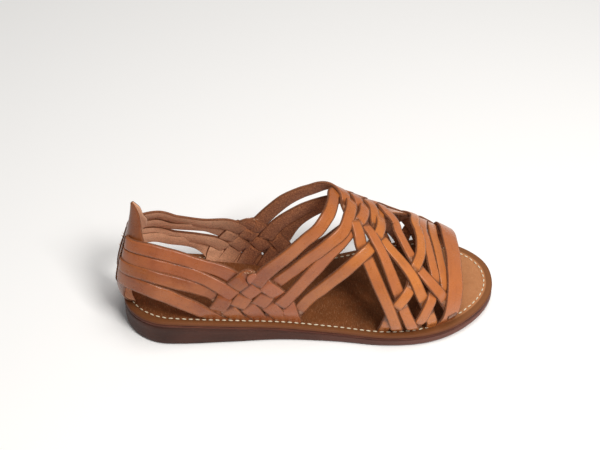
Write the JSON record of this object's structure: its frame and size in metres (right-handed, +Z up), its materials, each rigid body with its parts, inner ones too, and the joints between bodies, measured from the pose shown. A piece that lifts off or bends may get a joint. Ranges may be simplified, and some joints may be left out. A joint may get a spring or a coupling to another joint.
{
  "type": "huarache sandal",
  "caption": "Low wedge sandal for the right foot with an open toe, a closed heel counter with a pull tab, and an upper woven from flat leather straps.",
  "frame": {"origin": "on the floor under the middle of the heel, 40 mm ahead of the heel's back, at the heel_rest mount", "axes": "+X from heel to toe, +Y from the outer (lateral) to the inner (medial) side, +Z up"},
  "size_m": [0.2649, 0.0935, 0.1049],
  "materials": {
    "rubber": "matt",
    "midsole_leather": "matt",
    "insole_leather": "matt",
    "counter_leather": "satin",
    "strap_leather": "satin"
  },
  "bodies": {
    "root": {"outsole": "rubber", "midsole": "midsole_leather", "insole": "insole_leather", "heel_counter": "counter_leather", "upper": "strap_leather"}
  },
  "joints": []
}
